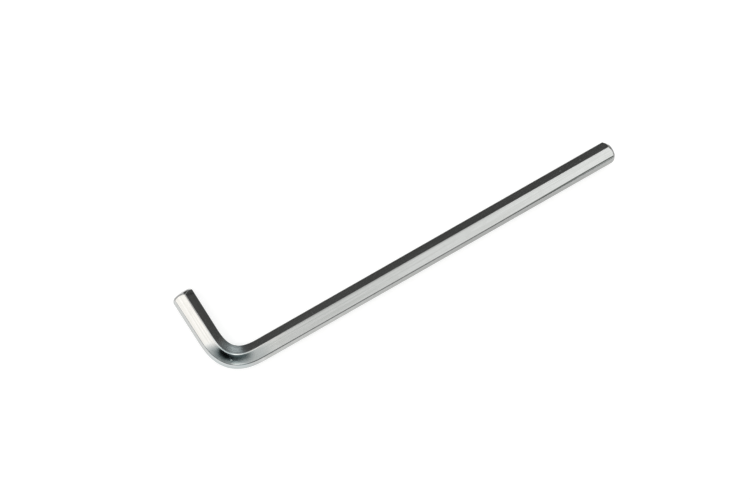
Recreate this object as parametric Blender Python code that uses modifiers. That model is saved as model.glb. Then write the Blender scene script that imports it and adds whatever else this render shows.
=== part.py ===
"""A long hex key: one hexagonal bar of steel, bent square near one end.

The bar is made the way the real one is. A straight length of six-sided bar with rolled edges gets a
turned cone at both ends. Then it is bent round a former between flat dies, so the curve eases into
both arms and the section thins towards the outside of the bend. The key lies flat: the long arm runs
along +X, the short arm along +Y, and +Z is square to both.
"""

import math

import bmesh
import bpy
from mathutils import Matrix, Vector

MM = 0.001

# The bar and the two arms, whose lengths run from the outside of the other arm.
ACROSS_FLATS = 10.0 * MM
EDGE_RADIUS = 0.6 * MM
LONG_ARM = 224.0 * MM
SHORT_ARM = 50.0 * MM

# The bend: the radius is the centreline's where it is tightest, in the middle. The curvature rises to
# it from both arms, by this share of its mean.
BEND_RADIUS = 12.5 * MM
BEND_ANGLE = math.radians(90.0)
BEND_EASE_SHARE = 0.6

# What the dies do to the section in the middle of the bend. The flats drop most steeply at their inner
# edge, by this share more than evenly, and the inner swell keeps to the inner corner.
OUTER_EDGE_DROP = 0.55 * MM
DROP_CURVE_SHARE = 0.9
OUTSIDE_SWELL = 0.4 * MM
OUTSIDE_SWELL_POWER = 2
INSIDE_SWELL = 0.3 * MM
INSIDE_SWELL_POWER = 4

# The turned ends: how far each end face stands in from the flats, and the cones' angles to the bar.
LONG_END_CHAMFER = 1.0 * MM
LONG_END_CONE_ANGLE = math.radians(45.0)
SHORT_END_CHAMFER = 0.8 * MM
SHORT_END_CONE_ANGLE = math.radians(55.0)

# How finely the round forms are cut.
BAR_SIDES = 6
EDGE_SEGMENTS = 4
CONE_STEPS = 72
BEND_STATIONS = 36
COURSE_STEPS = 20
FLAT_STRIPS = 6
CUT_OVERRUN = 2.0 * MM
MERGE_DISTANCE = 0.005 * MM
SHARP_FROM = math.radians(20.0)

# What the sizes above give.
EDGE_TURN = math.tau / BAR_SIDES
SHARP_CORNER = ACROSS_FLATS / 2 / math.cos(EDGE_TURN / 2)
FLAT_EDGE = ACROSS_FLATS / 2 * math.tan(EDGE_TURN / 2)
EDGE_SETBACK = EDGE_RADIUS * math.tan(EDGE_TURN / 2)
CORNER = SHARP_CORNER - EDGE_RADIUS * (1 / math.cos(EDGE_TURN / 2) - 1)
LONG_FACE_RADIUS = ACROSS_FLATS / 2 - LONG_END_CHAMFER
SHORT_FACE_RADIUS = ACROSS_FLATS / 2 - SHORT_END_CHAMFER
BEND_LENGTH = BEND_RADIUS * BEND_ANGLE * (1 + BEND_EASE_SHARE)

STEEL_COLOUR = (0.62, 0.63, 0.63, 1.0)
STEEL_ROUGHNESS = 0.18


def bend_course():
    """The centreline through the bend, as (run, rise, turn) at each station from the long arm."""
    course = [(0.0, 0.0, 0.0)]
    run = rise = 0.0
    steps = BEND_STATIONS * COURSE_STEPS
    for i in range(steps):
        share = (i + 0.5) / steps
        turn = turn_at(share)
        run += math.cos(turn) * BEND_LENGTH / steps
        rise += math.sin(turn) * BEND_LENGTH / steps
        if (i + 1) % COURSE_STEPS == 0:
            course.append((run, rise, turn_at((i + 1) / steps)))
    return course


def turn_at(share):
    """How far the bar has turned at a share of the bend's length: its curvature is a raised cosine."""
    return BEND_ANGLE * (share - BEND_EASE_SHARE * math.sin(math.tau * share) / math.tau)


COURSE = bend_course()
BEND_REACH = COURSE[-1][0] - COURSE[-1][1] / math.tan(BEND_ANGLE)
ARM_OFFSET = CORNER / math.sin(BEND_ANGLE)
LONG_STRAIGHT = LONG_ARM - ARM_OFFSET - BEND_REACH
SHORT_STRAIGHT = SHORT_ARM - ARM_OFFSET - BEND_REACH
BAR_LENGTH = LONG_STRAIGHT + BEND_LENGTH + SHORT_STRAIGHT


def collection(name):
    """A new collection of the scene."""
    made = bpy.data.collections.new(name)
    bpy.context.scene.collection.children.link(made)
    return made


def mesh_object(name, bm, home):
    """An object in the collection home, from a bmesh, which is freed."""
    mesh = bpy.data.meshes.new(name)
    bm.to_mesh(mesh)
    bm.free()
    made = bpy.data.objects.new(name, mesh)
    home.objects.link(made)
    return made


def plated_steel():
    """Bright plated steel."""
    made = bpy.data.materials.new("plated_steel")
    made.use_nodes = True
    shader = made.node_tree.nodes["Principled BSDF"]
    shader.inputs["Base Color"].default_value = STEEL_COLOUR
    shader.inputs["Metallic"].default_value = 1.0
    shader.inputs["Roughness"].default_value = STEEL_ROUGHNESS
    made.diffuse_color = STEEL_COLOUR
    return made


def straight_bar(home):
    """Six-sided bar with rolled edges, lying along X on a flat, and longer than the key at both ends."""
    length = BAR_LENGTH + 2 * CUT_OVERRUN
    bm = bmesh.new()
    bmesh.ops.create_cone(
        bm,
        cap_ends=True,
        segments=BAR_SIDES,
        radius1=SHARP_CORNER,
        radius2=SHARP_CORNER,
        depth=length,
        matrix=Matrix.Translation((-BAR_LENGTH / 2, 0, 0)) @ Matrix.Rotation(math.pi / 2, 4, "Y"),
    )
    flats = Matrix.Rotation(first_corner_turn(bm), 4, "X")
    bmesh.ops.transform(bm, matrix=flats, verts=bm.verts)
    long_edges = [e for e in bm.edges if e.calc_length() > length / 2]
    bmesh.ops.bevel(
        bm,
        geom=long_edges,
        offset=EDGE_SETBACK,
        offset_type="OFFSET",
        segments=EDGE_SEGMENTS,
        profile=0.5,
        affect="EDGES",
    )
    return mesh_object("bar", bm, home)


def first_corner_turn(bm):
    """The turn about X that brings the bar's first corner to +Y."""
    corner = bm.verts[:][0].co
    return -math.atan2(corner.z, corner.y)


def turned_envelope(home):
    """What the lathe leaves: a round body about the bar, with a cone and a flat face at both ends."""
    body = SHARP_CORNER + CUT_OVERRUN
    long_cone = (body - LONG_FACE_RADIUS) / math.tan(LONG_END_CONE_ANGLE)
    short_cone = (body - SHORT_FACE_RADIUS) / math.tan(SHORT_END_CONE_ANGLE)
    profile = [
        (0, 0),
        (LONG_FACE_RADIUS, 0),
        (body, -long_cone),
        (body, short_cone - BAR_LENGTH),
        (SHORT_FACE_RADIUS, -BAR_LENGTH),
        (0, -BAR_LENGTH),
    ]
    bm = bmesh.new()
    points = [bm.verts.new((across, 0, along)) for across, along in profile]
    for above, below in zip(points, points[1:]):
        bm.edges.new((above, below))
    made = mesh_object("turned_envelope", bm, home)
    made.rotation_euler = (0, math.pi / 2, 0)
    screw = made.modifiers.new("turning", "SCREW")
    screw.steps = CONE_STEPS
    screw.render_steps = CONE_STEPS
    screw.use_merge_vertices = True
    screw.merge_threshold = MERGE_DISTANCE
    made.display_type = "WIRE"
    made.hide_render = True
    return made


def turn_ends(bar, envelope):
    """Keeps of the bar what lies inside the envelope, as a plain mesh."""
    cut = bar.modifiers.new("turned_ends", "BOOLEAN")
    cut.operation = "INTERSECT"
    cut.solver = "EXACT"
    cut.object = envelope
    bpy.context.view_layer.update()
    seen = bar.evaluated_get(bpy.context.evaluated_depsgraph_get())
    turned = bpy.data.meshes.new_from_object(seen)
    bar.modifiers.clear()
    bar.data = turned


def slice_where(bm, point, normal):
    """Cuts every face that the plane crosses, without taking anything away."""
    everything = bm.verts[:] + bm.edges[:] + bm.faces[:]
    bmesh.ops.bisect_plane(bm, geom=everything, plane_co=point, plane_no=normal)


def add_stations(bm):
    """Rings of points through the stretch that bends, and strips along the flats that tip there."""
    for i in range(BEND_STATIONS + 1):
        along = -LONG_STRAIGHT - BEND_LENGTH * i / BEND_STATIONS
        slice_where(bm, (along, 0, 0), (1, 0, 0))
    for i in range(1, FLAT_STRIPS):
        across = FLAT_EDGE * (2 * i / FLAT_STRIPS - 1)
        slice_where(bm, (0, across, 0), (0, 1, 0))


def pressed(side, up, share):
    """A point of the section where it is bent, at a share of the bend. Side is towards the inside."""
    press = math.sin(math.pi * share) ** 2
    outside = max(0.0, -side) / CORNER
    inside = max(0.0, side) / CORNER
    over = max(0.0, FLAT_EDGE - side) / (2 * FLAT_EDGE)
    bow = DROP_CURVE_SHARE * math.sin(math.pi * min(1.0, over)) / math.pi
    drop = OUTER_EDGE_DROP * (over + bow)
    swell = INSIDE_SWELL * inside**INSIDE_SWELL_POWER - OUTSIDE_SWELL * outside**OUTSIDE_SWELL_POWER
    return side + press * swell, up * (1 - press * drop / (ACROSS_FLATS / 2))


def course_at(share):
    """The centreline's (run, rise, turn) at a share of the bend, between the two stations about it."""
    station = min(int(share * BEND_STATIONS), BEND_STATIONS - 1)
    part = share * BEND_STATIONS - station
    before, after = COURSE[station], COURSE[station + 1]
    return [low + (high - low) * part for low, high in zip(before, after)]


def bent(point):
    """Where a point of the straight bar goes. The arms' centrelines would cross at the origin."""
    along = -point.x - LONG_STRAIGHT
    side, up = point.y, point.z
    if along <= 0:
        return Vector((BEND_REACH - along, side, up))
    share = min(1.0, along / BEND_LENGTH)
    beyond = max(0.0, along - BEND_LENGTH)
    run, rise, turn = course_at(share)
    side, up = pressed(side, up, share)
    across = BEND_REACH - run + side * math.sin(turn) - beyond * math.cos(turn)
    forward = rise + side * math.cos(turn) + beyond * math.sin(turn)
    return Vector((across, forward, up))


def bend_bar(bar):
    """Bends the turned bar and lays the key on its lower flats, with its box centred over the origin."""
    bm = bmesh.new()
    bm.from_mesh(bar.data)
    add_stations(bm)
    for v in bm.verts:
        v.co = bent(v.co)
    lows = [min(v.co[i] for v in bm.verts) for i in range(3)]
    highs = [max(v.co[i] for v in bm.verts) for i in range(3)]
    middle = [(low + high) / 2 for low, high in zip(lows, highs)]
    bmesh.ops.translate(bm, verts=bm.verts, vec=(-middle[0], -middle[1], -lows[2]))
    bmesh.ops.remove_doubles(bm, verts=bm.verts, dist=MERGE_DISTANCE)
    bmesh.ops.recalc_face_normals(bm, faces=bm.faces)
    bm.to_mesh(bar.data)
    bm.free()


def main():
    """Builds the key."""
    for old in list(bpy.data.objects):
        bpy.data.objects.remove(old, do_unlink=True)
    parts = collection("long_hex_key")
    cutters = collection("cutters")
    key = straight_bar(parts)
    key.name = "hex_key"
    key.data.materials.append(plated_steel())
    turn_ends(key, turned_envelope(cutters))
    bend_bar(key)
    key.data.shade_smooth()
    key.data.set_sharp_from_angle(angle=SHARP_FROM)


main()
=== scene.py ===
"""The looks of a long hex key: a bright plated hexagon bar, bent square near one end.

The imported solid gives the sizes. One fine surface stands for it, worked out as a rolled hexagon that
is carried along the bar's centreline and ends in turned cones. The key lies on a plain white floor in
a pale room, and cloths and lit boards about it give the polished flats something to mirror.
"""

import math

import bmesh
import bpy
import numpy as np
from mathutils import Matrix, Vector

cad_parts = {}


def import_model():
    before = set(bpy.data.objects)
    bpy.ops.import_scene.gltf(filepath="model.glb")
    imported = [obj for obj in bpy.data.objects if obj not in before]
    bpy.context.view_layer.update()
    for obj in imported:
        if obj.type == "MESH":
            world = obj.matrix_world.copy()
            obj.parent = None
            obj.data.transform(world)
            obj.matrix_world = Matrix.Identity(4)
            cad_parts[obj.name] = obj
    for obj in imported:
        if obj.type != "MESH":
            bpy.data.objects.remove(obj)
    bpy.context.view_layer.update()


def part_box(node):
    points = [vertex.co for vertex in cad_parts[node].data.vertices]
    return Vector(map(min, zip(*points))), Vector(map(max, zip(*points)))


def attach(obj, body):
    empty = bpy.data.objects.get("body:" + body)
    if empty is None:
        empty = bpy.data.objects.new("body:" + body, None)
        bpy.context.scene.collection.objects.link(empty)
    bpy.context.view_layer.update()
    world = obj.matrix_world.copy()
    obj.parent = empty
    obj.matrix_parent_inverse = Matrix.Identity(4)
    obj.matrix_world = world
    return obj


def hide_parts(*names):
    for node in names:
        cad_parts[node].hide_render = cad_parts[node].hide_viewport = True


MM = 0.001

# The bar's small sizes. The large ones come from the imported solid.
EDGE_RADIUS = 0.6 * MM
BEND_RADIUS = 12.5 * MM
BEND_TURN = math.radians(90.0)
BEND_EASE_SHARE = 0.6
OUTER_EDGE_DROP = 0.55 * MM
DROP_CURVE_SHARE = 0.9
OUTSIDE_SWELL = 0.4 * MM
INSIDE_SWELL = 0.3 * MM

# The turned ends: how far the face stands in from the flats, the cone's angle to the bar, how far the
# corners at the face and at the sides are broken, and how far the shear has rolled the outer side over.
LONG_END = {
    "chamfer": 1.0 * MM,
    "angle": math.radians(45.0),
    "face_break": 0.12 * MM,
    "side_break": 0.10 * MM,
    "roll": 0.0,
}
SHORT_END = {
    "chamfer": 0.8 * MM,
    "angle": math.radians(55.0),
    "face_break": 0.3 * MM,
    "side_break": 0.25 * MM,
    "roll": 1.6 * MM,
}

# How finely the surface is divided: points on each rolled edge, each flat and each broken corner, rows
# along the long arm, the bend and the short arm, and steps of the sum that gives the centreline.
EDGE_POINTS = 7
FLAT_POINTS = 11
BREAK_POINTS = 7
LONG_ROWS = 70
BEND_ROWS = 120
SHORT_ROWS = 20
COURSE_STEPS = 2000
# Where an end's rows lie, as shares of the way out over its face and of the way back along its cone.
FACE_SHARES = (0.0, 0.3, 0.6, 0.8)
CONE_SHARES = (0.35, 0.65)
# The rows that lie on an end's face, with half of its broken corner, and the rows at the back of an end
# that have the drawn skin of the sides.
FACE_ROWS = len(FACE_SHARES) + BREAK_POINTS // 2
DRAWN_ROWS = 3
# How soon behind its broken corner a side is flat. Without a row of points there, the corner's shading
# would run on to the next row.
FLAT_LEAD = 0.12 * MM
# Points closer than this are one point. Only those at the middle of each face are.
POLE_REACH = 0.002 * MM

# The camera, as it stood over the key: its place in millimetres from the crossing of the arms' centrelines.
CAMERA_PLACE = (95.5, 67.3, 320.3)
CAMERA_TURN = (3.1885, -0.8471, 0.0547)
CAMERA_FOCAL_PIXELS = 657.0
CAMERA_NEAREST = 10 * MM
PICTURE_WIDTH_PIXELS = 750.0
SENSOR_WIDTH = 36.0

# The floor: how far it reaches in metres, its grey under the room's light, and what the camera and
# mirrored rays see of it, a glow and a thinner grey that keeps the shadow.
FLOOR_REACH = 3.0
FLOOR_GREY = 0.8
FLOOR_GLOW = 0.66
FLOOR_THIN_GREY = 0.45


class Value:
    """A number socket of a node tree. Sums on it add Math nodes."""

    def __init__(self, tree, socket):
        self.tree = tree
        self.socket = socket

    def _math(self, operation, *terms):
        return self.tree.node("ShaderNodeMath", {"operation": operation}, terms).value()

    def __add__(self, other):
        return self._math("ADD", self, other)

    def __radd__(self, other):
        return self._math("ADD", other, self)

    def __sub__(self, other):
        return self._math("SUBTRACT", self, other)

    def __rsub__(self, other):
        return self._math("SUBTRACT", other, self)

    def __mul__(self, other):
        return self._math("MULTIPLY", self, other)

    def __rmul__(self, other):
        return self._math("MULTIPLY", other, self)

    def __truediv__(self, other):
        return self._math("DIVIDE", self, other)

    def __rtruediv__(self, other):
        return self._math("DIVIDE", other, self)

    def at_least(self, other):
        """The larger of the two."""
        return self._math("MAXIMUM", self, other)

    def at_most(self, other):
        """The smaller of the two."""
        return self._math("MINIMUM", self, other)

    def absolute(self):
        """The value without its sign."""
        return self._math("ABSOLUTE", self)

    def root(self):
        """The square root."""
        return self._math("SQRT", self)

    def ramp(self, low, high):
        """0 up to low, 1 from high on, and smooth between them. With low above high it falls."""
        settings = {"interpolation_type": "SMOOTHSTEP"}
        return self.tree.node("ShaderNodeMapRange", settings, [self, low, high, 0.0, 1.0]).value()


class Node:
    """A node of a tree, with its outputs as values."""

    def __init__(self, tree, node):
        self.tree = tree
        self.node = node

    def value(self, name=0):
        """An output, as a value that sums can use."""
        return Value(self.tree, self.node.outputs[name])


class Tree:
    """A material's or a world's node tree, emptied."""

    def __init__(self, owner):
        owner.use_nodes = True
        self.nodes = owner.node_tree.nodes
        self.links = owner.node_tree.links
        self.nodes.clear()

    def node(self, kind, settings=None, sockets=()):
        """Adds a node: its settings first, then its sockets, by number or by name."""
        made = self.nodes.new(kind)
        for name, setting in (settings or {}).items():
            setattr(made, name, setting)
        pairs = sockets.items() if isinstance(sockets, dict) else enumerate(sockets)
        for name, given in pairs:
            if isinstance(given, Value):
                self.links.new(given.socket, made.inputs[name])
            else:
                made.inputs[name].default_value = given
        return Node(self, made)

    def mix(self, factor, a, b):
        """Colour a where factor is 0, b where it is 1."""
        made = self.node("ShaderNodeMix", {"data_type": "RGBA"}, {0: factor, 6: a, 7: b})
        return made.value(2)

    def noise(self, vector, scale, detail=2.0, roughness=0.5):
        """Smooth noise about 0.5."""
        sockets = {"Vector": vector, "Scale": scale, "Detail": detail, "Roughness": roughness}
        return self.node("ShaderNodeTexNoise", {}, sockets).value()

    def mapped(self, vector, scale, place=(0, 0, 0)):
        """The vector, stretched and moved."""
        sockets = {"Vector": vector, "Scale": scale, "Location": place}
        return self.node("ShaderNodeMapping", {}, sockets).value()

    def place(self):
        """A point's place in metres."""
        return self.node("ShaderNodeTexCoord").value("Object")

    def split(self, vector):
        """The three parts of a vector."""
        parts = self.node("ShaderNodeSeparateXYZ", {}, [vector])
        return [parts.value(axis) for axis in range(3)]

    def marks(self, *names):
        """What the surface's points are marked with, by name."""
        return [self.node("ShaderNodeAttribute", {"attribute_name": name}).value("Fac") for name in names]

    def surface(self, shader):
        """Ends a material in a shader."""
        self.node("ShaderNodeOutputMaterial", {}, {0: shader})

    def metal(self, colour, roughness, height):
        """Ends a material in bare metal, with its height in metres as bump."""
        bump = self.node("ShaderNodeBump", {}, {"Strength": 1.0, "Distance": 1.0, "Height": height}).value()
        sockets = {"Base Color": colour, "Metallic": 1.0, "Roughness": roughness, "Normal": bump}
        self.surface(self.node("ShaderNodeBsdfPrincipled", {}, sockets).value())


def grey(level):
    """A neutral colour."""
    return (level, level, level, 1.0)


def bar_sizes(low, high):
    """The bar's sizes in metres, from the solid's box: the arms run to the outside of each other."""
    flats = high[2] - low[2]
    half_turn = math.pi / 6
    sharp = flats / 2 / math.cos(half_turn)
    corner = sharp - EDGE_RADIUS * (1 / math.cos(half_turn) - 1)
    return {
        "flats": flats,
        "corner": corner,
        "flat_edge": sharp * math.sin(half_turn),
        "long": high[0] - low[0],
        "short": high[1] - low[1],
        "crossing": np.array([low[0] + corner, low[1] + corner, (low[2] + high[2]) / 2]),
    }


def bend_course():
    """The centreline through the bend: run, rise and turn at even steps.

    The turn is BEND_TURN times (s - e sin(2 pi s) / (2 pi)) at a share s of the bend's length, so the
    curvature is a raised cosine. Run and rise are the sums of its cosine and sine along the length.
    """
    length = BEND_RADIUS * BEND_TURN * (1 + BEND_EASE_SHARE)
    share = np.linspace(0, 1, COURSE_STEPS + 1)
    turn = BEND_TURN * (share - BEND_EASE_SHARE * np.sin(math.tau * share) / math.tau)
    middle = (turn[1:] + turn[:-1]) / 2
    run = np.concatenate([[0], np.cumsum(np.cos(middle))]) * length / COURSE_STEPS
    rise = np.concatenate([[0], np.cumsum(np.sin(middle))]) * length / COURSE_STEPS
    return {"length": length, "share": share, "run": run, "rise": rise, "turn": turn}


def rolled_hexagon(sizes):
    """The section, corner by corner: (side, up) and the way along its edge.

    Each corner is an arc of the edge radius through 60 degrees, about a centre that is that radius
    inside both flats. Each flat runs straight to the next arc, its points closer near the edges.
    """
    corners = np.radians(60.0 * np.arange(6))
    inner = (sizes["flats"] / 2 - EDGE_RADIUS) / math.cos(math.pi / 6)
    centres = inner * np.stack([np.cos(corners), np.sin(corners)], -1)
    sweep = np.radians(np.linspace(-30, 30, EDGE_POINTS))
    angles = corners[:, None] + sweep[None, :]
    arcs = centres[:, None, :] + EDGE_RADIUS * np.stack([np.cos(angles), np.sin(angles)], -1)
    share = (1 - np.cos(np.linspace(0, math.pi, FLAT_POINTS + 2)[1:-1])) / 2
    starts, ends = arcs[:, -1], np.roll(arcs[:, 0], -1, axis=0)
    flats = starts[:, None, :] + share[None, :, None] * (ends - starts)[:, None, :]
    points = np.concatenate([arcs, flats], axis=1).reshape(-1, 2)
    steps = np.linalg.norm(np.roll(points, -1, axis=0) - points, axis=1)
    return points, np.concatenate([[0], np.cumsum(steps)])


def rounded(corner, before, after, reach):
    """The corner of two straight lines made round.

    A parabola (1-s)^2 A + 2s(1-s) C + s^2 B runs from A, reach before the corner C, to B, reach after it.
    """
    s = np.linspace(0, 1, BREAK_POINTS)[:, None, None]
    start, end = corner - reach * before, corner + reach * after
    return (1 - s) ** 2 * start + 2 * s * (1 - s) * corner + s**2 * end


def turned_end(radii, unit, sizes, end):
    """One turned end, for every column of the section: rows of (distance from the end, radius).

    A flat face runs out from the axis, a cone runs back from it at its angle to the bar until it meets
    the column's own side, and both corners are broken. Far columns are the bar's corners, so the cone
    leaves a scallop on each flat. Last, a point goes back by the roll times the square of how far it
    lies to the outer side, as a share of the way to the corner.
    """
    face = sizes["flats"] / 2 - end["chamfer"]
    out = np.array([0.0, 1.0])
    back = np.array([math.cos(end["angle"]), math.sin(end["angle"])])
    side = np.array([1.0, 0.0])
    face_corner = np.stack([np.zeros_like(radii), np.full_like(radii, face)], -1)
    depth = (radii - face) / math.tan(end["angle"])
    side_corner = np.stack([depth, radii], -1)
    spokes = [face_corner * share for share in FACE_SHARES]
    face_break = rounded(face_corner, out, back, end["face_break"])
    side_break = rounded(side_corner, back, side, end["side_break"])
    cone = [face_break[-1] + (side_break[0] - face_break[-1]) * share for share in CONE_SHARES]
    rows = np.concatenate([np.array(spokes), face_break, np.array(cone), side_break])
    rows[..., 0] += end["roll"] * (np.minimum(rows[..., 1] * unit[:, 0], 0) / sizes["corner"]) ** 2
    return rows


def between(first, last, count):
    """Rows from first to last, even steps."""
    share = np.linspace(0, 1, count)[:, None]
    return first[None] * (1 - share) + last[None] * share


def straight_bar(sizes):
    """The key before its bend, as a grid: rows from the long end to the short end, columns round it.

    "along" is every point's distance along the bar, "points" its (side, up), and "around" the way round
    the section to each column. The other values are how many rows an end has, the bend's course, how
    far it reaches from the crossing of the arms, and where along the bar it starts.
    """
    section, around = rolled_hexagon(sizes)
    radii = np.linalg.norm(section, axis=1)
    unit = section / radii[:, None]
    course = bend_course()
    reach = course["run"][-1] - course["rise"][-1] / math.tan(BEND_TURN)
    long_straight = sizes["long"] - sizes["corner"] - reach
    short_straight = sizes["short"] - sizes["corner"] - reach
    total = long_straight + course["length"] + short_straight
    long_end = turned_end(radii, unit, sizes, LONG_END)
    short_end = turned_end(radii, unit, sizes, SHORT_END)[::-1]
    bend_start = np.full(len(radii), long_straight)
    bend_end = np.full(len(radii), long_straight + course["length"])
    long_rows = between(long_end[-1, :, 0] + FLAT_LEAD, bend_start, LONG_ROWS)[:-1]
    bend_rows = between(bend_start, bend_end, BEND_ROWS)
    short_rows = between(bend_end, total - short_end[0, :, 0] - FLAT_LEAD, SHORT_ROWS)[1:]
    short_end_rows = total - short_end[:, :, 0]
    along = np.concatenate([long_end[:, :, 0], long_rows, bend_rows, short_rows, short_end_rows])
    middle = np.repeat(radii[None], len(along) - 2 * len(long_end), axis=0)
    reach_out = np.concatenate([long_end[:, :, 1], middle, short_end[:, :, 1]])
    return {
        "along": along,
        "points": reach_out[:, :, None] * unit[None],
        "around": around,
        "end_rows": len(long_end),
        "course": course,
        "reach": reach,
        "long_straight": long_straight,
    }


def press_at(share):
    """How hard the dies press at a share s of the bend: sin^2 (pi s)."""
    return np.sin(math.pi * share) ** 2


def pressed(side, up, share, sizes):
    """The section inside the bend, between the dies.

    With p the press, the corners swell by p times their swell, which falls off with the share of the
    way out, to the power 2 outside and 4 inside. The flats tip down to the outside by p times the
    drop at the outer edge. At a share u of the way over the flat the drop is u + (k / pi) sin(pi u),
    so it is steepest at the inner edge.
    """
    press = press_at(share)
    corner, edge = sizes["corner"], sizes["flat_edge"]
    inside, outside = np.maximum(side, 0) / corner, np.minimum(side, 0) / corner
    swell = INSIDE_SWELL * inside**4 - OUTSIDE_SWELL * outside**2
    over = np.maximum(edge - side, 0) / (2 * edge)
    bow = DROP_CURVE_SHARE / math.pi * np.sin(math.pi * np.minimum(over, 1))
    drop = OUTER_EDGE_DROP * (over + bow)
    return side + press * swell, up * (1 - press * drop / (sizes["flats"] / 2))


def bent(bar, sizes):
    """Carries the straight bar's points round the bend, as arrays.

    A point goes to the centreline's place at its distance along, plus its side across the way and its
    up. Past the bend the way is straight.
    """
    course, points = bar["course"], bar["points"]
    into = bar["along"] - bar["long_straight"]
    share = np.clip(into / course["length"], 0, 1)
    before, beyond = np.minimum(into, 0), np.maximum(into - course["length"], 0)
    run = np.interp(share, course["share"], course["run"]) + before
    rise = np.interp(share, course["share"], course["rise"])
    turn = np.interp(share, course["share"], course["turn"])
    side, up = pressed(points[..., 0], points[..., 1], share, sizes)
    x = bar["reach"] - run + side * np.sin(turn) - beyond * np.cos(turn)
    y = rise + side * np.cos(turn) + beyond * np.sin(turn)
    return np.stack([x, y, up], -1) + sizes["crossing"]


def profile_way(bar):
    """How far each point lies along its own column from the long end's axis, over face, cone and side."""
    reach = np.linalg.norm(bar["points"], axis=-1)
    steps = np.hypot(np.diff(bar["along"], axis=0), np.diff(reach, axis=0))
    return np.concatenate([np.zeros((1, reach.shape[1])), np.cumsum(steps, axis=0)])


def surface(name, points, uv_along, uv_round, marks, materials, face_slots):
    """A mesh object from a grid that is closed round its columns, with quads between neighbouring rows.

    The map "bar" holds metres along and round, and marks are kept by name. The faces point out.
    """
    rows, columns = points.shape[:2]
    i, j = np.meshgrid(np.arange(rows - 1), np.arange(columns), indexing="ij")
    corner_rows = np.stack([i, i + 1, i + 1, i], -1)
    corner_columns = np.stack([j, j, j + 1, j + 1], -1)
    faces = (corner_rows * columns + corner_columns % columns).reshape(-1, 4)
    mesh = bpy.data.meshes.new(name)
    mesh.from_pydata(points.reshape(-1, 3), [], faces)
    along = uv_along[corner_rows, corner_columns % columns]
    around = uv_round[corner_columns]
    layer = mesh.uv_layers.new(name="bar")
    layer.data.foreach_set("uv", np.stack([along, around], -1).ravel().astype(np.float32))
    for mark, values in marks.items():
        held = mesh.attributes.new(mark, "FLOAT", "POINT")
        held.data.foreach_set("value", values.ravel().astype(np.float32))
    for material in materials:
        mesh.materials.append(material)
    mesh.polygons.foreach_set("material_index", face_slots.astype(np.int32))
    mesh.polygons.foreach_set("use_smooth", np.ones(len(faces), dtype=bool))
    made = bpy.data.objects.new(name, mesh)
    bpy.context.scene.collection.objects.link(made)
    close_poles(mesh)
    return made


def close_poles(mesh):
    """Joins the points that meet on the axis at both ends."""
    bm = bmesh.new()
    bm.from_mesh(mesh)
    bmesh.ops.remove_doubles(bm, verts=bm.verts, dist=POLE_REACH)
    bm.to_mesh(mesh)
    bm.free()
    mesh.update()


def key_surface(sizes, drawn, turned):
    """The key's fine surface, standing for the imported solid.

    Its points are marked with their share of the bend, with how hard the dies pressed them, from 0 on the
    arms to 1 in the middle of the bend, with their side as a share of the way out to the corner, and with
    1 everywhere but on the flat end faces.
    """
    bar = straight_bar(sizes)
    rows, columns = bar["along"].shape
    bend = (bar["along"] - bar["long_straight"]) / bar["course"]["length"]
    off_face = np.ones_like(bend)
    off_face[:FACE_ROWS] = off_face[-FACE_ROWS:] = 0
    marks = {
        "bend": bend,
        "press": press_at(np.clip(bend, 0, 1)),
        "side": bar["points"][..., 0] / sizes["corner"],
        "off_face": off_face,
    }
    turned_strips = bar["end_rows"] - DRAWN_ROWS
    slots = np.zeros((rows - 1, columns))
    slots[:turned_strips] = slots[-turned_strips:] = 1
    places, travelled = bent(bar, sizes), profile_way(bar)
    made = surface("plated_bar", places, travelled, bar["around"], marks, [drawn, turned], slots.ravel())
    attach(made, "root")
    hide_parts("hex_key")


# The plate's colours: its own, then those of its tints on the sides, and the last two on the cones. The
# streaks' tint is the plate's own; every other tint is painted light, painted reflection, shade and
# highlights, as said at each.
STEEL_COLOUR = (0.56, 0.57, 0.565, 1.0)
STREAK_COLOUR = (0.51, 0.52, 0.51, 1.0)
# Painted reflection: the bend is painted darker and a little cooler.
BEND_REFLECTION_COLOUR = (0.50, 0.565, 0.575, 1.0)
# Painted shade where the long arm goes into the bend and near the outer edge.
DULL_SHADE_COLOUR = (0.37, 0.40, 0.405, 1.0)
# Painted shade along the edges of the flats.
EDGE_SHADE_COLOUR = (0.34, 0.345, 0.34, 1.0)
# A painted dark line on the outer side near the long arm's end, painted shade.
DARK_LINE_COLOUR = (0.06, 0.068, 0.062, 1.0)
# Painted shade on the outer sides from the bend on: a grey on the short arm, a cooler one in the bend.
OUTER_SIDE_SHADE_COLOUR = (0.405, 0.42, 0.415, 1.0)
OUTER_SIDE_SHADE_BEND_COLOUR = (0.415, 0.46, 0.465, 1.0)
# Painted shade: a dark reflection in the middle of the bend, and dark lines along its inner edge.
PAINTED_DARK_COLOUR = (0.20, 0.225, 0.225, 1.0)
# Painted highlights on the edges and the flat in the bend, and on the scrape.
PAINTED_HIGHLIGHT_COLOUR = (0.68, 0.70, 0.70, 1.0)
# The last two are painted shade on the cones, the second darker.
CONE_SHADE_COLOUR = (0.33, 0.335, 0.33, 1.0)
CONE_DARK_SHADE_COLOUR = (0.16, 0.163, 0.16, 1.0)

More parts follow.
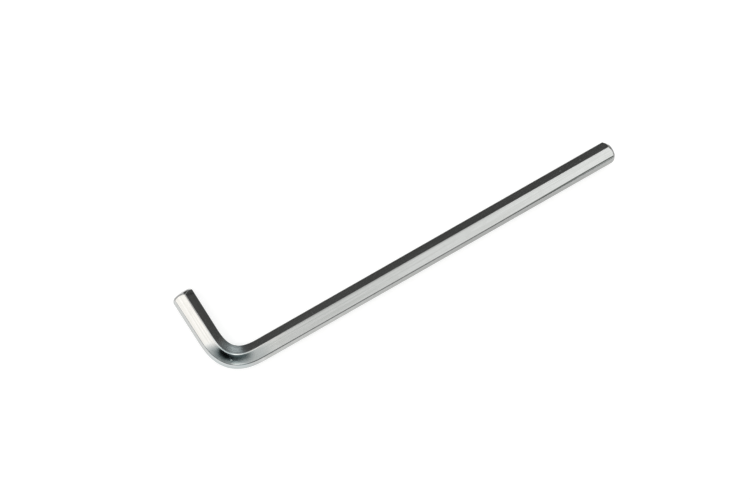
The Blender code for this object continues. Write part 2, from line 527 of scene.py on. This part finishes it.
# Patches of the plate: strength, ranges of the side over the section, and ranges of the share along the
# bend. A range goes from where the patch has faded out to where it is full. The side is -1 at the
# section's outer corner, 1 at its inner corner, and -0.5 and 0.5 at the edges of the upper and lower
# flats. The share is 0 where the long arm goes into the bend and 1 where the short arm comes out of it.
INNER_EDGE = [(0.46, 0.49), (0.56, 0.53)]
OUTER_EDGE = [(-0.46, -0.49), (-0.56, -0.53)]
ON_THE_FLAT = [(0.51, 0.46), (-0.51, -0.46)]
RIM_LENGTH = [(0.28, 0.4), (0.82, 0.72)]
PATCHES = {
    # The entering and greyed patches are painted shade in the colour, and make the plate rougher too.
    "entering": (0.85, ON_THE_FLAT, [(-0.3, 0.05), (0.45, 0.2)]),
    "greyed": (0.9, ON_THE_FLAT + [(0.0, -0.35)], [(0.46, 0.58), (0.85, 0.7)]),
    # Painted shade on the outer sides.
    "outer_side_shade": (1.0, [(-0.53, -0.62)], [(0.02, 0.15)]),
    # The next five are painted shade: a dark reflection in the bend and dark lines by its inner edge.
    "painted_dark": (1.0, [(-0.08, -0.3), (-0.48, -0.44)], [(0.4, 0.5), (0.66, 0.58)]),
    "dark": (1.0, [(0.45, 0.38), (-0.46, -0.3)], [(0.5, 0.58)]),
    "corner_rim": (0.6, [(0.86, 0.9), (1.0, 0.96)], RIM_LENGTH),
    "edge_rim": (0.36, [(0.55, 0.59), (0.67, 0.63)], RIM_LENGTH),
    "dim_edge": (0.6, INNER_EDGE, [(0.48, 0.55), (0.78, 0.7)]),
    # The next four are painted highlights; the scrape after them is rougher and also painted bright.
    "highlit_outer_edge": (1.0, OUTER_EDGE, [(0.3, 0.42), (0.76, 0.68)]),
    "highlit_inner_edge_start": (1.0, INNER_EDGE, [(0.24, 0.34), (0.52, 0.42)]),
    "highlit_inner_edge_end": (1.0, INNER_EDGE, [(0.76, 0.86), (1.02, 0.94)]),
    "painted_sheen": (0.7, [(0.5, -0.1), (-0.51, -0.46)], [(0.68, 0.8), (1.0, 0.9)]),
    "scrape_and_highlight": (1.0, [(-0.335, -0.36), (-0.405, -0.38)], [(0.27, 0.33), (0.48, 0.46)]),
    "scuffed": (1.0, [(0.3, 0.1), (-0.3, -0.1)], [(0.2, 0.3), (0.5, 0.42)]),
    "rubbed": (1.0, [(0.5, 0.55)], [(0.45, 0.6), (0.95, 0.75)]),
}
# How strongly the painted dark reflection and dark lines show.
PAINTED_DARK_STRENGTH = 0.8
# The painted dark patch ends on a slant: its range of the share, less this much of the side.
DARK_END = (0.72, 0.65)
DARK_SLANT = 0.14
# The dent's middle as (share, side), and how many times its half sizes go into 1.
DENT_PLACE = (0.48, -0.053)
DENT_TIGHTNESS = (62.0, 14.0)
DENT_RANGE = (0.0, 0.6)

# The strips of painted shade along the edges of the upper and lower flats, and the painted dark line:
# ranges of the side without its sign, then ranges of the share. The outer strips broaden inwards to the
# long arm's end.
EDGE_STRIP = [(0.42, 0.45), (0.565, 0.535)]
DARK_LINE_STRIP = [(0.42, 0.44), (0.54, 0.52)]
INNER_HALF = (-0.05, 0.05)
INNER_EDGE_LONG, INNER_EDGE_LONG_STRENGTH = (0.12, -0.1), 0.55
INNER_EDGE_SHORT = (1.1, 1.5)
OUTER_EDGE_LONG = (0.32, 0.12)
DARK_LINE_LONG = (-3.3, -6.0)
BROADER_LONG = (-3.6, -6.2)
BROADER = 0.12
BROADER_BACK_SHARE = 0.9

# The skin's grain: its scale per metre along and round the bar, or in every direction, and its depth.
LINES_SCALE, LINES_DEPTH = (40, 7000, 1), 0.0016 * MM
STREAKS_SCALE, STREAKS_DEPTH = (22, 1500, 1), 0.002 * MM
NICKS_SCALE, NICKS_DEPTH = (420, 1300, 1), 0.006 * MM
NICKS_PLACE = (3.1, 1.7, 0)
NICKS_RANGE = (0.775, 0.82)
PEEL_SCALE, PEEL_DEPTH = 480.0, 0.022 * MM
CLOUD_SCALE = 260.0
RINGS_SCALE, RINGS_DEPTH = (8000, 60, 1), 0.004 * MM
# Where the grain changes the plate's colour, and where the bend's painted reflection tint comes in with
# the press, as ranges of each.
STREAKS_TINT, CLOUD_TINT, BEND_REFLECTION_RANGE = (0.35, 0.62), (0.45, 0.7), (0.1, 0.7)
CLOUD_STRENGTH = 0.5
# The plate's roughness, and what each mark adds to it.
ROUGHNESS = 0.09
ROUGHER = {
    "lines": 0.05, "cloud": 0.03, "press": -0.035, "nicks": 0.2, "dull": 0.06,
    "rubbed": 0.13, "scuffed": 0.05, "dent": 0.3, "scrape_and_highlight": 0.14,
}

# The cones: the share from which an end is the short one, and the dim and dark parts of painted shade as
# ranges of the side. The dark part lies further in at the short end. Then the roughness, and what the
# rings add to it.
AT_SHORT = (0.9, 1.1)
DIM_SHORT = (0.38, 0.2)
DIM_LONG = [(0.0, -0.25), (-0.7, -0.58)]
DEEP = [(0.22, 0.36), (0.7, 0.62)]
DEEP_SHORT_SHIFT = 0.14
CONE_ROUGHNESS, RINGS_ROUGHER = 0.2, 0.1


def patch(name, side, share):
    """How far a patch shows: its strength times its ramps over the section and along the bend."""
    strength, across, along = PATCHES[name]
    ramps = [side.ramp(*ends) for ends in across] + [share.ramp(*ends) for ends in along]
    return math.prod(ramps, start=strength)


def edge_lines(side, share):
    """Painted shade along the edges of the upper and lower flats, and where a painted dark line runs.

    Each edge is a strip about a side of 0.5, either way. The strips of painted shade lie on the arms and
    fade out in the bend. The way out to the outer ones is made longer towards the long arm's end, which
    broadens them inwards, and the painted dark line runs along them there.
    """
    inside = side.ramp(*INNER_HALF)
    outside = 1.0 - inside
    broader = BROADER * share.ramp(*BROADER_LONG) * outside
    way_out = side.absolute()
    starts, ends = EDGE_STRIP
    strip = (way_out + broader).ramp(*starts) * (way_out + BROADER_BACK_SHARE * broader).ramp(*ends)
    inner = share.ramp(*INNER_EDGE_LONG) * INNER_EDGE_LONG_STRENGTH + share.ramp(*INNER_EDGE_SHORT)
    edges = strip * (inner * inside + share.ramp(*OUTER_EDGE_LONG) * outside)
    starts, ends = DARK_LINE_STRIP
    dark_line = (way_out + broader).ramp(*starts) * (way_out + broader).ramp(*ends)
    return edges, dark_line * outside * share.ramp(*DARK_LINE_LONG)


def drawn_steel():
    """Bright plate over drawn bar.

    Fine lines and soft streaks run along the bar, and a few nicks catch the light. The dies have left
    the bend's skin faintly wavy and smoother, and the bend is painted a little darker and cooler, a painted
    reflection. Its upper and lower flats carry painted shade, also rougher, where the long arm goes into
    it and near the outer edge, a painted dark reflection in the middle, and a painted highlight towards
    the short arm, with a dent, a scrape that is rougher and painted bright, and a scuffed stretch. Its
    edges carry painted highlights and painted dark lines, while the edges of the arms carry painted shade,
    with a painted dark line near the long arm's end. The outer sides are painted darker from the bend on,
    painted shade.
    """
    made = bpy.data.materials.new("drawn_steel")
    t = Tree(made)
    way = t.node("ShaderNodeUVMap", {"uv_map": "bar"}).value()
    place = t.place()
    press, share, side = t.marks("press", "bend", "side")
    has = {name: patch(name, side, share) for name in PATCHES}
    # Painted shade along the edges of the flats, and a painted dark line near the long arm's end.
    edges, dark_line = edge_lines(side, share)
    # Painted shade, which is also rougher, where the long arm goes into the bend and near the outer edge.
    dull = has["entering"].at_least(has["greyed"])
    # Painted shade: the bend's dark reflection and the dark lines along its inner edge and corner.
    dark = has["dark"] * (share - DARK_SLANT * side).ramp(*DARK_END)
    rims = has["corner_rim"] + has["edge_rim"] + has["dim_edge"]
    painted_dark = has["painted_dark"].at_least(dark).at_least(rims)
    # Painted highlights along the bend's edges and towards the short arm, and on the scrape.
    painted_highlight = has["highlit_outer_edge"].at_least(has["painted_sheen"]).at_least(has["scrape_and_highlight"])
    painted_highlight = painted_highlight.at_least(has["highlit_inner_edge_start"] + has["highlit_inner_edge_end"])
    along = (share - DENT_PLACE[0]) * DENT_TIGHTNESS[0]
    across = (side - DENT_PLACE[1]) * DENT_TIGHTNESS[1]
    dent = (1.0 - along * along - across * across).ramp(*DENT_RANGE)

    lines = t.noise(t.mapped(way, LINES_SCALE), 1.0, 3.0, 0.6)
    streaks = t.noise(t.mapped(way, STREAKS_SCALE), 1.0, 2.0, 0.55)
    nicks = t.noise(t.mapped(way, NICKS_SCALE, NICKS_PLACE), 1.0, 1.0).ramp(*NICKS_RANGE)
    cloud = t.noise(place, CLOUD_SCALE, 3.0)
    peel = t.noise(place, PEEL_SCALE, 3.5, 0.6)
    height = lines * LINES_DEPTH + streaks * STREAKS_DEPTH + peel * press * PEEL_DEPTH - nicks * NICKS_DEPTH

    # In the bend the colour is painted darker and cooler, a painted reflection.
    in_bend = press.ramp(*BEND_REFLECTION_RANGE)
    colour = t.mix(streaks.ramp(*STREAKS_TINT), STREAK_COLOUR, STEEL_COLOUR)
    # After the cloud the layers paint light: reflection in the bend, shade, highlights and edge shade.
    layers = (
        (cloud.ramp(*CLOUD_TINT) * CLOUD_STRENGTH, STREAK_COLOUR),
        (in_bend, BEND_REFLECTION_COLOUR),
        (dull, DULL_SHADE_COLOUR),
        (PAINTED_DARK_STRENGTH * painted_dark, PAINTED_DARK_COLOUR),
        (painted_highlight, PAINTED_HIGHLIGHT_COLOUR),
        (edges, EDGE_SHADE_COLOUR),
        (dark_line, DARK_LINE_COLOUR),
        # Painted shade on the outer sides.
        (has["outer_side_shade"], t.mix(in_bend, OUTER_SIDE_SHADE_COLOUR, OUTER_SIDE_SHADE_BEND_COLOUR)),
    )
    for factor, laid in layers:
        colour = t.mix(factor, colour, laid)

    has.update(lines=lines, cloud=cloud, press=press, nicks=nicks, dull=dull, dent=dent)
    roughness = sum((rougher * has[name] for name, rougher in ROUGHER.items()), start=ROUGHNESS)
    t.metal(colour, roughness, height)
    return made


def turned_steel():
    """The turned ends: fine rings left by the tool, under the same plate.

    The cones carry painted shade over the outer side, all of it at the short end and a part of it at the
    long one, and darker painted shade over a part of the inner side.
    """
    made = bpy.data.materials.new("turned_steel")
    t = Tree(made)
    way = t.node("ShaderNodeUVMap", {"uv_map": "bar"}).value()
    share, side, off_face = t.marks("bend", "side", "off_face")
    rings = t.noise(t.mapped(way, RINGS_SCALE), 1.0, 2.0)
    at_short = share.ramp(*AT_SHORT)
    starts, ends = DIM_LONG
    dim_long = (1.0 - at_short) * side.ramp(*starts) * side.ramp(*ends)
    dim = at_short * side.ramp(*DIM_SHORT) + dim_long
    starts, ends = DEEP
    deep = (side - DEEP_SHORT_SHIFT * at_short).ramp(*starts) * side.ramp(*ends)
    # Painted shade on the cones.
    colour = t.mix(dim * off_face, STEEL_COLOUR, CONE_SHADE_COLOUR)
    colour = t.mix(deep * off_face, colour, CONE_DARK_SHADE_COLOUR)
    t.metal(colour, CONE_ROUGHNESS + RINGS_ROUGHER * rings, rings * RINGS_DEPTH)
    return made


def floor_material():
    """White floor: camera and mirrored rays see it bright, and it keeps the key's shadow."""
    made = bpy.data.materials.new("white_floor")
    t = Tree(made)
    path = t.node("ShaderNodeLightPath")
    mirrored = path.value("Is Glossy Ray") + path.value("Is Transmission Ray")
    seen = (path.value("Is Camera Ray") + mirrored).at_most(1.0)
    plain = t.node("ShaderNodeBsdfDiffuse", {}, {"Color": grey(FLOOR_GREY)}).value()
    glow = t.node("ShaderNodeEmission", {}, {"Color": grey(1.0), "Strength": FLOOR_GLOW}).value()
    thin = t.node("ShaderNodeBsdfDiffuse", {}, {"Color": grey(FLOOR_THIN_GREY)}).value()
    bright = t.node("ShaderNodeAddShader", {}, [glow, thin]).value()
    t.surface(t.node("ShaderNodeMixShader", {}, [seen, plain, bright]).value())
    return made


def card(name, low, high, material):
    """A rectangle for the stage between two corners: flat where they are level, and upright otherwise."""
    (x0, y0, z0), (x1, y1, z1) = low, high
    second_y, fourth_y = (y0, y1) if z0 == z1 else (y1, y0)
    points = [(x0, y0, z0), (x1, second_y, z0), (x1, y1, z1), (x0, fourth_y, z1)]
    mesh = bpy.data.meshes.new(name)
    mesh.from_pydata(points, [], [(0, 1, 2, 3)])
    mesh.materials.append(material)
    made = bpy.data.objects.new(name, mesh)
    bpy.context.scene.collection.objects.link(made)
    return made


# Cloths about the key, in millimetres from the crossing of the centrelines and from the floor: two
# corners, the grey near the bend and the grey past the middle of the long arm. The last one stands
# close behind the board that lights the inside of the bend, so that no light shows over it.
CLOTHS = {
    "flag_inside": ((9, 9, 0.3), (275, 52, 0.3), 0.1, 0.09),
    "flag_beyond": ((238, -20, 0.3), (275, 9, 0.3), 0.1, 0.1),
    "flag_short_tip": ((1.5, 49.0, 0.35), (30, 74, 0.35), 0.08, 0.08),
    "grey_outside": ((16, -26, 0.3), (238, -7.5, 0.3), 1.0, 0.78),
    "grey_short_tip": ((-4.5, 49.0, 0.3), (1.5, 51.6, 0.3), 0.35, 0.35),
    "backing": ((11, 40.05, 0), (90, 40.05, 3.2), 0.034, 0.034),
}
# Where along X, in metres, a cloth's grey changes.
CLOTH_CHANGE = (-0.09, 0.04)
# Lit boards, on the same measure: corners, strength, the height over which they fade and where along +X
# they fade out.
BOARDS = {
    "board_end": ((-45, 74, 0.4), (16, 150, 0.4), 0.8, 0.2, (16, 0)),
    "board_bend": ((11, 40, 0), (90, 40, 3), 0.6, 1.4, (88, 40)),
}
# How far under the floor a board's fade starts, as a share of its height.
BOARD_SUNK = 0.2


def cloth(name, near_grey, far_grey):
    """Studio cloth, of one grey near the bend and another past the middle of the long arm."""
    made = bpy.data.materials.new(name)
    t = Tree(made)
    x, _, _ = t.split(t.place())
    tone = t.mix(x.ramp(*CLOTH_CHANGE), grey(near_grey), grey(far_grey))
    t.surface(t.node("ShaderNodeBsdfDiffuse", {}, {"Color": tone}).value())
    return made


def lit_board(name, strength, fade, run_out):
    """A board of plain white light that fades towards the floor, and along +X between two places."""
    made = bpy.data.materials.new(name)
    t = Tree(made)
    x, _, height = t.split(t.place())
    glow = t.mix(height.ramp(-BOARD_SUNK * fade, fade) * x.ramp(*run_out), grey(0.0), grey(1.0))
    t.surface(t.node("ShaderNodeEmission", {}, {"Color": glow, "Strength": strength}).value())
    return made


def cards(sizes):
    """Cloths and boards about the key. Only the metal sees them."""
    x, y, _ = sizes["crossing"]
    origin = np.array([x, y, 0])
    pieces = [(name, low, high, cloth(name, *greys)) for name, (low, high, *greys) in CLOTHS.items()]
    for name, (low, high, strength, fade, run_out) in BOARDS.items():
        run_out = [x + place * MM for place in run_out]
        pieces.append((name, low, high, lit_board(name, strength, fade * MM, run_out)))
    for name, low, high, material in pieces:
        made = card(name, origin + np.array(low) * MM, origin + np.array(high) * MM, material)
        made.visible_camera = False
        made.visible_diffuse = False
        made.visible_shadow = False
        made.visible_transmission = False


# Round lamps and dark spots of the room: the way towards each, and the angles in degrees within which it
# is full and past which it is gone.
SPOTS = {
    "warm_lamp": ((-0.288, -0.09, 0.953), 5.5, 7.5),
    "core": ((-0.46, -0.31, 0.832), 4.0, 7.2),
    "near_core": ((-0.325, -0.285, 0.902), 1.4, 3.6),
    "side_lamp": ((0.29, 0.58, 0.76), 5.0, 11.0),
    "side_gap": ((0.70, -0.04, 0.71), 3.0, 6.0),
    "end_lamp": ((-0.33, 0.93, 0.16), 7.0, 12.0),
}
# Strengths of the room. The sheet's is its middle, its rise along X, and its least and most.
SHEET_MIDDLE, SHEET_RISE, SHEET_LEAST, SHEET_MOST = 1.1, 0.75, 0.8, 1.4
WARM_LAMP, SIDE_LAMP, END_LAMP, SIDE_GAP = 0.85, 1.8, 1.2, 0.9
INNER_WALL, OUTER_WALL = 0.88, 0.06
CEILING, NEAR_CORE_LESS, CORE = 0.22, 0.14, 0.004
# The warm lamp's band, as ranges of X and Y. Then the sheet's edge: it leans with X, but never lies under
# a least, which steps up over a range of X. Less this much of Y, it is past the sheet over a range.
BAND_X, BAND_Y = (-0.16, -0.24), (-0.12, -0.06)
SHEET_EDGE_LEAN, SHEET_EDGE_LEAST = -0.45, 0.09
SHEET_EDGE_STEP, SHEET_EDGE_STEP_X = 0.065, (-0.19, -0.26)
SHEET_EDGE_Y, PAST_SHEET = 0.89, (0.355, 0.405)
# The walls: how far a way turns to the outer side, seen level, and the heights of the walls and of the
# white above the floor.
OUTER_WALL_WAY = (0.78, 0.92)
WALL_HEIGHT, LOW_HEIGHT = (0.66, 0.54), (0.36, 0.31)
LEVEL_LEAST = 0.0001
WHITE = (1.0, 1.0, 0.99, 1.0)
CEILING_COLOUR = (0.8, 1.0, 1.02, 1.0)
LAMP_COLOUR = (1.03, 0.99, 0.95, 1.0)


def studio_world():
    """A pale room by direction.

    Overhead hangs a wide soft sheet, brighter towards the long arm's tip, with a warm lamp beside it.
    Past the sheet's edge the ceiling is dark, darkest in its core, and the wall on the outer side of
    the long arm is dark too. The other walls are pale, and all round the floor's level it is white.
    """
    world = bpy.data.worlds.new("studio")
    bpy.context.scene.world = world
    t = Tree(world)
    way = t.node("ShaderNodeTexCoord").value("Generated")
    x, y, z = t.split(way)

    def spot(name):
        direction, inner, outer = SPOTS[name]
        toward = tuple(Vector(direction).normalized())
        near = t.node("ShaderNodeVectorMath", {"operation": "DOT_PRODUCT"}, [way, toward]).value("Value")
        return near.ramp(math.cos(math.radians(outer)), math.cos(math.radians(inner)))

    sheet = (SHEET_MIDDLE + SHEET_RISE * x).at_least(SHEET_LEAST).at_most(SHEET_MOST)
    lamp = spot("warm_lamp").at_least(x.ramp(*BAND_X) * y.ramp(*BAND_Y))
    least = SHEET_EDGE_LEAST + SHEET_EDGE_STEP * x.ramp(*SHEET_EDGE_STEP_X)
    sheet_edge = (SHEET_EDGE_LEAN * x).at_least(least)
    past_sheet = (sheet_edge - SHEET_EDGE_Y * y).ramp(*PAST_SHEET)
    core = spot("core")
    level = (1 - z * z).at_least(LEVEL_LEAST).root()
    outer_wall = (-1 * y / level).ramp(*OUTER_WALL_WAY)
    wall = z.ramp(*WALL_HEIGHT) * (1 - outer_wall)
    dark = past_sheet * (1 - wall)
    shade = (CEILING - NEAR_CORE_LESS * spot("near_core")) * (1 - core) + CORE * core
    shade = shade * (1 - outer_wall) + OUTER_WALL * outer_wall
    strength = (sheet + WARM_LAMP * lamp) * (1 - dark) + shade * dark
    strength = strength * (1 - wall) + INNER_WALL * wall + SIDE_LAMP * spot("side_lamp")
    strength = strength * (1 - SIDE_GAP * spot("side_gap"))
    low = z.ramp(*LOW_HEIGHT)
    strength = strength * (1 - low) + low + END_LAMP * spot("end_lamp")
    colour = t.mix(dark, WHITE, CEILING_COLOUR)
    colour = t.mix(lamp * (1 - dark), colour, LAMP_COLOUR)
    colour = t.mix(low, colour, grey(1.0))
    room = t.node("ShaderNodeBackground", {}, {"Color": colour, "Strength": strength}).value()
    t.node("ShaderNodeOutputWorld", {}, {0: room})


def camera(sizes):
    """The camera over the key. Its turn is a rotation vector to axes of right, down and forward."""
    data = bpy.data.cameras.new("camera")
    made = bpy.data.objects.new("camera", data)
    bpy.context.scene.collection.objects.link(made)
    data.sensor_width = SENSOR_WIDTH
    data.lens = CAMERA_FOCAL_PIXELS / PICTURE_WIDTH_PIXELS * SENSOR_WIDTH
    data.clip_start = CAMERA_NEAREST
    turn = Vector(CAMERA_TURN)
    to_camera = Matrix.Rotation(turn.length, 3, turn.normalized())
    right, down, forward = to_camera
    axes = Matrix((right, -down, -forward)).transposed().to_4x4()
    place = Vector(sizes["crossing"]) + Vector(CAMERA_PLACE) * MM
    made.matrix_world = Matrix.Translation(place) @ axes
    bpy.context.scene.camera = made


def main():
    """Dresses the frame."""
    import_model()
    low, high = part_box("hex_key")
    sizes = bar_sizes(low, high)
    bpy.context.scene.view_settings.view_transform = "Standard"
    key_surface(sizes, drawn_steel(), turned_steel())
    card("floor", (-FLOOR_REACH, -FLOOR_REACH, 0), (FLOOR_REACH, FLOOR_REACH, 0), floor_material())
    cards(sizes)
    studio_world()
    camera(sizes)


main()
